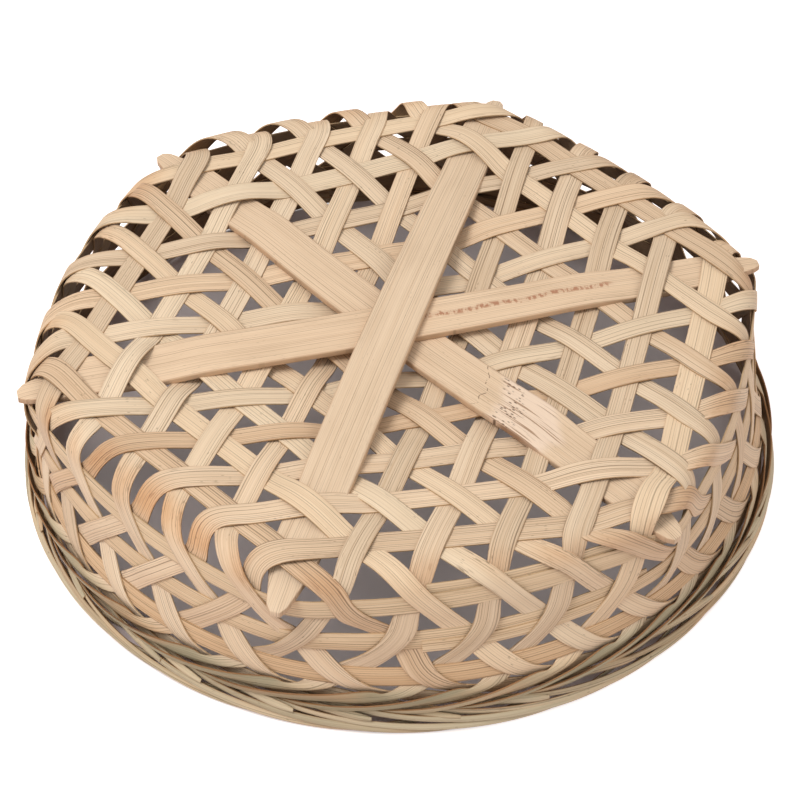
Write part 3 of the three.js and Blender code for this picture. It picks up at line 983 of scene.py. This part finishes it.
slatMarks = {
    "skew": 0.55,  # the node lies askew and bulges towards the end
    "bulge": 34.0,
    "seam": (0.1125, 0.0001, 0.00035),
    "seamWave": (20, 190, 0.009),
    "seamBreaks": (200, 520, 1.0, 0.42, 0.54),
    "seamShare": 0.7,
    "darkTone": (84, 54, 34),
    "ridge": (0.1113, 0.0008, 0.002),
    "ridgeHeight": 1.6,
    "pores": (0.0965, 0.004, 0.004),
    "pore": (330, 900, 0.16, 0.4),
    "poreShare": 0.85,
    "scraped": (0.086, 0.013, 0.008),
    "scrapedShare": 0.7,
    "scrapedTone": (238, 215, 194),
    "crack": (30, 1300, 1.0, 0.56, 0.66),
    "crackShare": 0.8,
    "crackTone": (150, 112, 80),
    "scars": (0.22, 0.042, 0.006),
    "scarsAcross": (0.0005, 0.0006, 0.0016),
    "scarWave": (60, 60, 0.004),
    "scarBreaks": (620, 260, 2.0, 0.46, 0.58, 0.7),
    "scarShares": (0.6, 0.16),
    "scarTone": (158, 96, 62),
}


def wave(tree, lie, lengthwise, crosswise, amount):
    return times(tree, minus(tree, streaks(tree, lie, lengthwise, crosswise, 1.0), 0.5), amount)


def nodeMarks(tree, lie, color, height):
    marks = slatMarks
    u, v = lengthAndBreadth(tree, lie)
    askew = minus(tree, plus(tree, u, times(tree, v, marks["skew"])), times(tree, v, v, marks["bulge"]))
    along = plus(tree, askew, wave(tree, lie, *marks["seamWave"]))
    seam = times(tree, band(tree, along, *marks["seam"]), patches(tree, lie, *marks["seamBreaks"]),
                 marks["seamShare"])
    ridge = times(tree, band(tree, along, *marks["ridge"]), marks["ridgeHeight"])
    scraped = band(tree, along, *marks["scraped"])
    pores = times(tree, dots(tree, lie, *marks["pore"])[0], band(tree, along, *marks["pores"]),
                  marks["poreShare"])
    split = times(tree, patches(tree, lie, *marks["crack"]), scraped, marks["crackShare"])
    dark = maths(tree, "MAXIMUM", pores, seam)
    paled = times(tree, scraped, marks["scrapedShare"])
    for where, tone in (paled, "scrapedTone"), (split, "crackTone"), (dark, "darkTone"):
        color = blend(tree, where, color, linear(*marks[tone]))
    return color, minus(tree, plus(tree, height, ridge), plus(tree, dark, split))


def scarMarks(tree, lie, color, height):
    marks = slatMarks
    u, v = lengthAndBreadth(tree, lie)
    across = band(tree, plus(tree, v, wave(tree, lie, *marks["scarWave"])), *marks["scarsAcross"])
    strong, weak = marks["scarShares"]
    broken = plus(tree, times(tree, patches(tree, lie, *marks["scarBreaks"]), strong), weak)
    scars = times(tree, across, band(tree, u, *marks["scars"]), broken)
    return blend(tree, scars, color, linear(*marks["scarTone"])), minus(tree, height, scars)


splitCane = makeCane("splitCane", "strip", skinShows=True)
innerCane = makeCane("innerCane", "inner")
cutCane = makeCane("cutCane", "cut")
hoopCane = makeCane("hoopCane", "hoop")
slatCane = {
    "lower": makeCane("slatCaneNode", "slat", marks=nodeMarks),
    "middle": makeCane("slatCaneScar", "slat", marks=scarMarks),
    "upper": makeCane("slatCanePlain", "slat"),
}
print("materials made")


# Woven strips

strips = {
    "pitch": 2.4,  # of the cuts along it
    "overSlat": 14.0,  # how far a strip keeps its height where it crosses a slat's end
    "thick": 0.66,
    "width": 1.02,  # against the solids' strips, and the share that it varies by
    "vary": 0.09,
    "wide": {("level", 1): 1.06},
    "tones": {("rising", 8): (0.85, -0.15), ("rising", 9): (0.55, -0.1), ("rising", 7): (0.3, 0.1),
              ("level", 2): (0.0, 0.3), ("level", 3): (0.1, 0.2)},
    "wander": 0.5,  # how far it wanders aside, and the share that its width changes by on the way
    "waver": 0.05,
    "toneVary": 0.8,
    "soften": 4.0,
}


def makeStrip(family, number, row):
    drawn = strips["width"] * (1 + dice.uniform(-1, 1) * strips["vary"])
    widen = strips["wide"].get((family, number), drawn)
    line = smoothLine(stripRoute(family, row), strips["pitch"], widen,
                      strips["wander"], strips["waver"], strips["soften"])
    piece = layCane(f"{family}Strip{number}", line, bodies["across"])
    giveThickness(piece, strips["thick"], (splitCane, innerCane, cutCane))
    drawn = [dice.uniform(-strips["toneVary"], strips["toneVary"]) for _ in range(2)]
    tone, warmth = strips["tones"].get((family, number), drawn)
    paintFacts(piece, line, tone, warmth)
    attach(piece, "root")
    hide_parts(f"{family}_strip_{number}")


for family in directions:
    for number, row in enumerate([row for row in range(-rings, rings + 1) if row], 1):
        makeStrip(family, number, row)
    print(family, "strips woven")


# Hoops

hoops = {
    "pitch": 3.0,
    "overlap": 3.1,  # crossings over which the two ends lie together
    "lapRise": 5.6,  # the end lies a little higher there, and is narrower
    "lapWidth": 0.62,
    "lapInside": 0.6,
    "lapIn": 1.5,  # the shoulder leans in, and the raised end with it
    "lapFades": 0.9,  # crossings over which that begins and ends
    "insideFades": 0.8,
    "fadesFrom": 0.5,
    "perCrossing": 2,
    "thick": 0.7,
    "wander": 0.35,
    "waver": 0.05,
    "shoulder": {"ring": 6, "seam": 1.5, "tone": -0.2, "warmth": 0.0},
    "middle": {"ring": 7, "seam": 1.4, "tone": 0.1, "warmth": 0.1, "rise": -3.4},
    "mouth": {"ring": 8, "seam": 12.0, "tone": 0.3, "warmth": 0.8},
}


def makeHoop(name):
    facts = hoops[name]
    ring, seam = facts["ring"], facts["seam"]
    stations = []
    total = around + hoops["overlap"]
    rise = facts.get("rise", hoops["lapRise"])
    for turn in np.linspace(seam, seam + total, int(total * hoops["perCrossing"]) + 1):
        point, normal, hoopWay = wallCrossing(turn, ring)
        across = normal.cross(hoopWay).normalized()
        gone = turn - seam + hoops["fadesFrom"]
        lap = 1 - min(1, max(0, (gone - hoops["overlap"]) / hoops["lapFades"]))
        inward = -hoops["lapInside"] * min(1, max(0, (gone - around) / hoops["insideFades"]))
        lift = across * (sign(across.z) * rise * lap)
        inward -= hoops["lapIn"] * lap * (ring == rings + 1 and rise > 0)
        half = wall["hoop"] / 2 * mix(1, hoops["lapWidth"], lap)
        stations.append(station(point + normal * inward + lift, across * half, normal))
    line = smoothLine(stations, hoops["pitch"], 1.0, hoops["wander"], hoops["waver"])
    piece = layCane(f"{name}Hoop", line, bodies["across"])
    giveThickness(piece, hoops["thick"], (hoopCane, innerCane, cutCane))
    paintFacts(piece, line, facts["tone"], facts["warmth"])
    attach(piece, "root")
    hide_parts(f"{name}_hoop")


for name in ("shoulder", "middle", "mouth"):
    makeHoop(name)
print("hoops made")


# Slats

slats = {
    "pitch": 3.0,
    "across": 6,
    "edge": 0.45,
    "edgeSteps": 3,
    "wander": 0.25,
    "waver": 0.012,
    "bendStart": 141.0,  # distances from the middle of the base
    "neck": 155.0,
    "halfLength": 167.0,
    "thinned": 2.4,
    "endThick": 2.2,
    # to each end, from the first to the second: how much wider or narrower the slat gets, how far
    # the tip drops and how much shorter it is
    "lower": {"way": "falling", "place": 0, "tone": 0.1, "warmth": 0.2,
              "wide": (1.0, 0.86), "drops": (6.4, 1.0), "shorter": (0.0, 4.0)},
    "middle": {"way": "level", "place": 1, "tone": 0.0, "warmth": 0.35,
               "wide": (1.07, 0.84), "drops": (3.5, 0.5), "shorter": (0.0, 0.5)},
    "upper": {"way": "rising", "place": 2, "tone": 0.2, "warmth": -0.1,
              "wide": (0.96, 0.86), "drops": (6.0, 3.0), "shorter": (0.0, 0.0)},
}


def slatProfile(place):
    # Distance, height of the underside, thickness, width, and share of the tip's drop
    spacing, full, wide = weave["spacing"], weave["slatThick"], weave["slat"]
    thinned, thin, tip = slats["thinned"], slats["endThick"], slats["halfLength"]
    centre = dishHeight(spacing + slatCrossing) + slatRest + place * (full + weave["gap"])
    third = dishHeight(3 * spacing) + slatRest
    second = max(dishHeight(2 * spacing) + slatRest, mix(centre, third, 0.5))
    end = slatEndTop - thinned
    return (
        (hexCross * wide / 2, centre, full, wide, 0),
        (2 * spacing, second, full, wide, 0),
        (3 * spacing, third, full, wide, 0),
        (slatOverEnd, end, thinned, 22.6, 0),
        (slats["bendStart"] - 5.0, end, thinned, 21.8, 0),
        (slats["bendStart"], end, thinned, 21.5, 0),
        (slats["neck"], end, thin, 14.0, 0.68),
        (tip - 4.0, end, thin, 9.6, 0.9),
        (tip - 1.2, end + 0.2, thin - 0.4, 7.4, 0.98),
        (tip, end + 0.4, thin - 0.9, 4.4, 1),
    )


def makeSlat(name):
    facts = slats[name]
    heading = directions[facts["way"]]
    side = up.cross(heading)
    stations = []
    for end, grow, drop, less in zip((-1, 1), facts["wide"], facts["drops"], facts["shorter"]):
        half = []
        for distance, bottom, thick, width, droop in slatProfile(facts["place"]):
            share = min(1, distance / slats["neck"])
            top = heading * (end * (distance - less * droop)) + up * (bottom + thick - drop * droop)
            half.append(station(top, side * (width / 2 * mix(1, grow, share)), up, crown=0))
        stations += half[::-1] if end < 0 else half
    line = smoothLine(stations, slats["pitch"], 1.0, slats["wander"], slats["waver"])
    piece = layCane(f"{name}Slat", line, slats["across"])
    pick(piece)
    bpy.ops.object.mode_set(mode="EDIT")
    bpy.ops.mesh.select_all(action="SELECT")
    bpy.ops.mesh.extrude_region_move(TRANSFORM_OT_translate={"value": (0, 0, -weave["slatThick"] * mm)})
    normalsOut()
    softenEdges(piece, slats["edge"], slats["edgeSteps"])
    bpy.ops.object.shade_smooth_by_angle(angle=bodies["smoothTo"])
    piece.data.materials.append(slatCane[name])
    paintFacts(piece, line, facts["tone"], facts["warmth"])
    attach(piece, "root")
    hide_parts(f"{name}_slat")


for name in slatCane:
    makeSlat(name)
print("slats made")


# Floor, backdrop and light

stage = {
    "floor": (224, 208, 206),
    "floorRough": 0.9,
    "radius": 4,
    "outside": 0.75,  # glow of the floor outside the mouth, and from where it has it all
    "outsideEdge": (0.1675, 0.1705),
    "inside": 0.07,  # and the little under the middle of the basket
    "insideEdge": (0.14, 0.158),
    "white": 1.0,
    "world": 0.53,
    "worldTint": (1, 0.99, 0.975, 1),
    # power, size and place
    "lamps": {"keyLamp": (19.6, 0.9, (-0.9, -0.2, 1.6)), "fillLamp": (6.0, 1.6, (1.2, -1.0, 1.2))},
    "aim": (0, 0, 0.05),
}


def seenStraight(tree):
    path = add(tree, "LightPath")
    mirrored = maths(tree, "MAXIMUM", path.outputs["Is Glossy Ray"], path.outputs["Is Transmission Ray"])
    return maths(tree, "MAXIMUM", path.outputs["Is Camera Ray"], mirrored)


def makeFloor():
    bpy.ops.object.select_all(action="DESELECT")
    bpy.ops.mesh.primitive_circle_add(vertices=96, radius=stage["radius"], fill_type="NGON")
    floor = bpy.context.object
    floor.name = "floor"
    material, tree, shader = newMaterial("paleFloor")
    spot = add(tree, "TexCoord")
    apart = add(tree, "VectorMath", operation="LENGTH")
    tree.links.new(spot.outputs["Object"], apart.inputs[0])
    away = apart.outputs["Value"]
    shader.inputs["Base Color"].default_value = linear(*stage["floor"])
    shader.inputs["Roughness"].default_value = stage["floorRough"]
    shader.inputs["Specular IOR Level"].default_value = 0.0
    glow = add(tree, "Emission")
    outside = times(tree, ramp(tree, away, *stage["outsideEdge"]), stage["outside"])
    under = times(tree, minus(tree, 1.0, ramp(tree, away, *stage["insideEdge"])), stage["inside"])
    join(tree, times(tree, seenStraight(tree), plus(tree, outside, under)), glow.inputs["Strength"])
    both = add(tree, "AddShader")
    tree.links.new(shader.outputs[0], both.inputs[0])
    tree.links.new(glow.outputs[0], both.inputs[1])
    tree.links.new(both.outputs[0], tree.nodes["Material Output"].inputs["Surface"])
    floor.data.materials.append(material)


def makeWorld():
    world = bpy.data.worlds.new("studio")
    world.use_nodes = True
    tree = world.node_tree
    back = tree.nodes["Background"]
    back.inputs["Color"].default_value = stage["worldTint"]
    strength = add(tree, "Mix", data_type="FLOAT")
    join(tree, seenStraight(tree), strength.inputs[0])
    strength.inputs[2].default_value = stage["world"]
    strength.inputs[3].default_value = stage["white"]
    join(tree, strength.outputs[0], back.inputs["Strength"])
    bpy.context.scene.world = world


def makeLamp(name, power, size, place):
    light = bpy.data.lights.new(name, "AREA")
    light.shape = "DISK"
    light.size = size
    light.energy = power
    lamp = bpy.data.objects.new(name, light)
    lamp.location = place
    lamp.rotation_euler = (Vector(stage["aim"]) - Vector(place)).to_track_quat("-Z", "Y").to_euler()
    bpy.context.collection.objects.link(lamp)


makeFloor()
makeWorld()
for name, facts in stage["lamps"].items():
    makeLamp(name, *facts)
bpy.context.scene.view_settings.view_transform = "Standard"
print("stage set")
